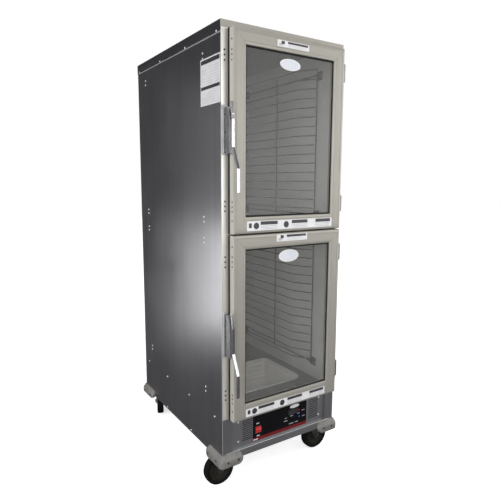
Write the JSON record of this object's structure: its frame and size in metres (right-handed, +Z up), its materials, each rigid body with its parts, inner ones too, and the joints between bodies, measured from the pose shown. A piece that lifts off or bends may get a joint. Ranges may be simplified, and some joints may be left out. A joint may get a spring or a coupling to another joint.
{
  "type": "proofing cabinet",
  "caption": "Tall mobile proofing and holding cabinet with glazed upper and lower doors, pull latches, wire pan slides, floor water pan, heat module, control panel and swivel casters.",
  "frame": {"origin": "centre of the bounding box's base, on the ground under the wheels", "axes": "+X to the cabinet's right as seen from the front, +Y from the front towards the back, +Z up; the doors face -Y"},
  "size_m": [0.6272, 0.9266, 1.75],
  "materials": {
    "panel": "vertical brushed, satin",
    "frame_metal": "satin",
    "door_metal": "anodised satin, warm grey",
    "stainless": "brushed",
    "wire": "bright drawn wire",
    "zinc": "zinc plated",
    "chrome": "polished",
    "pane": "clear, slightly smoky",
    "gasket": "matte",
    "tyre": "matte, dark",
    "bumper": "matte, warm grey",
    "overlay": "printed film, semi-gloss",
    "display": "dark window",
    "lamp": "translucent",
    "switch_black": "matte",
    "switch_red": "translucent red",
    "element": "heat darkened",
    "motor": "matte black",
    "module": "galvanised",
    "fastener_dark": "black oxide"
  },
  "bodies": {
    "cabinet": {"back_panel": "panel", "base_tray": "panel", "bumper_screws": "fastener_dark", "cabinet_floor": "stainless", "caster_bolts": "zinc", "caster_plates": "zinc", "control_overlay": "overlay", "control_plate": "stainless", "cord_gland": "switch_black", "corner_bumpers": "bumper", "display_window": "display", "fan_guard": "wire", "fan_motor": "motor", "header": "frame_metal", "heating_element": "element", "hinge_leaves_fixed": "chrome", "hinge_pins": "chrome", "indicator_lamps": "lamp", "latch_strikes": "chrome", "module_housing": "module", "mullion": "frame_metal", "plate_screws": "stainless", "post_left": "frame_metal", "post_right": "frame_metal", "rack_brackets": "zinc", "shell_rivets": "stainless", "side_panel_left": "panel", "side_panel_right": "panel", "sill": "frame_metal", "switch_housing": "switch_black", "top_cap": "panel"},
    "upper_door": {"upper_door_frame": "door_metal", "upper_door_window": "pane", "upper_door_glazing_seal": "gasket", "upper_door_gasket": "gasket", "upper_door_hinge_leaves": "chrome", "upper_latch_body": "chrome"},
    "upper_lever": {"upper_latch_lever": "chrome"},
    "lower_door": {"lower_door_frame": "door_metal", "lower_door_window": "pane", "lower_door_glazing_seal": "gasket", "lower_door_gasket": "gasket", "lower_door_hinge_leaves": "chrome", "lower_latch_body": "chrome"},
    "lower_lever": {"lower_latch_lever": "chrome"},
    "lift_rack_upper_left": {"rack_upper_left": "wire"},
    "lift_rack_upper_right": {"rack_upper_right": "wire"},
    "lift_rack_lower_left": {"rack_lower_left": "wire"},
    "lift_rack_lower_right": {"rack_lower_right": "wire"},
    "lift_pan": {"water_pan": "stainless"},
    "fan": {"fan_impeller": "stainless"},
    "rocker": {"rocker_switch": "switch_red"},
    "swivel_front_left": {"caster_fork_front_left": "zinc"},
    "wheel_front_left": {"caster_wheel_front_left": "tyre"},
    "swivel_front_right": {"caster_fork_front_right": "zinc"},
    "wheel_front_right": {"caster_wheel_front_right": "tyre"},
    "swivel_rear_left": {"caster_fork_rear_left": "zinc"},
    "wheel_rear_left": {"caster_wheel_rear_left": "tyre"},
    "swivel_rear_right": {"caster_fork_rear_right": "zinc"},
    "wheel_rear_right": {"caster_wheel_rear_right": "tyre"}
  },
  "joints": [
    {"name": "upper_door_hinge", "type": "hinge", "parent": "cabinet", "child": "upper_door", "pos_m": [0.2699, -0.39627, 1.372], "axis": [0, 0, 1], "range_deg": [0, 180]},
    {"name": "lower_door_hinge", "type": "hinge", "parent": "cabinet", "child": "lower_door", "pos_m": [0.2699, -0.39627, 0.665], "axis": [0, 0, 1], "range_deg": [0, 180]},
    {"name": "upper_latch_pull", "type": "hinge", "parent": "upper_door", "child": "upper_lever", "pos_m": [-0.2631, -0.41127, 1.43], "axis": [-1, 0, 0], "range_deg": [0, 20]},
    {"name": "lower_latch_pull", "type": "hinge", "parent": "lower_door", "child": "lower_lever", "pos_m": [-0.2631, -0.41127, 0.694], "axis": [-1, 0, 0], "range_deg": [0, 20]},
    {"name": "rack_upper_left_lift", "type": "slide", "parent": "cabinet", "child": "lift_rack_upper_left", "axis": [0, 0, 1], "range_m": [0, 0.012]},
    {"name": "rack_upper_right_lift", "type": "slide", "parent": "cabinet", "child": "lift_rack_upper_right", "axis": [0, 0, 1], "range_m": [0, 0.012]},
    {"name": "rack_lower_left_lift", "type": "slide", "parent": "cabinet", "child": "lift_rack_lower_left", "axis": [0, 0, 1], "range_m": [0, 0.012]},
    {"name": "rack_lower_right_lift", "type": "slide", "parent": "cabinet", "child": "lift_rack_lower_right", "axis": [0, 0, 1], "range_m": [0, 0.012]},
    {"name": "water_pan_lift", "type": "slide", "parent": "cabinet", "child": "lift_pan", "axis": [0, 0, 1], "range_m": [0, 0.07]},
    {"name": "fan_spin", "type": "hinge", "parent": "cabinet", "child": "fan", "pos_m": [0, 0.16973, 0.258], "axis": [0, 0, 1], "continuous": true},
    {"name": "power_rocker", "type": "hinge", "parent": "cabinet", "child": "rocker", "pos_m": [-0.1131, -0.36527, 0.2265], "axis": [1, 0, 0], "range_deg": [0, 14]},
    {"name": "swivel_front_left", "type": "hinge", "parent": "cabinet", "child": "swivel_front_left", "pos_m": [-0.2126, -0.28927, 0.14], "axis": [0, 0, 1], "continuous": true},
    {"name": "roll_front_left", "type": "hinge", "parent": "swivel_front_left", "child": "wheel_front_left", "pos_m": [-0.2501, -0.28927, 0.0635], "axis": [0, -1, 0], "continuous": true},
    {"name": "swivel_front_right", "type": "hinge", "parent": "cabinet", "child": "swivel_front_right", "pos_m": [0.2126, -0.28927, 0.14], "axis": [0, 0, 1], "continuous": true},
    {"name": "roll_front_right", "type": "hinge", "parent": "swivel_front_right", "child": "wheel_front_right", "pos_m": [0.2501, -0.28927, 0.0635], "axis": [0, 1, 0], "continuous": true},
    {"name": "swivel_rear_left", "type": "hinge", "parent": "cabinet", "child": "swivel_rear_left", "pos_m": [-0.2296, 0.36483, 0.14], "axis": [0, 0, 1], "continuous": true},
    {"name": "roll_rear_left", "type": "hinge", "parent": "swivel_rear_left", "child": "wheel_rear_left", "pos_m": [-0.21555, 0.3996, 0.0635], "axis": [-0.9272, 0.3746, 0], "continuous": true},
    {"name": "swivel_rear_right", "type": "hinge", "parent": "cabinet", "child": "swivel_rear_right", "pos_m": [0.2296, 0.36483, 0.14], "axis": [0, 0, 1], "continuous": true},
    {"name": "roll_rear_right", "type": "hinge", "parent": "swivel_rear_right", "child": "wheel_rear_right", "pos_m": [0.21555, 0.3996, 0.0635], "axis": [-0.9272, -0.3746, 0], "continuous": true}
  ]
}
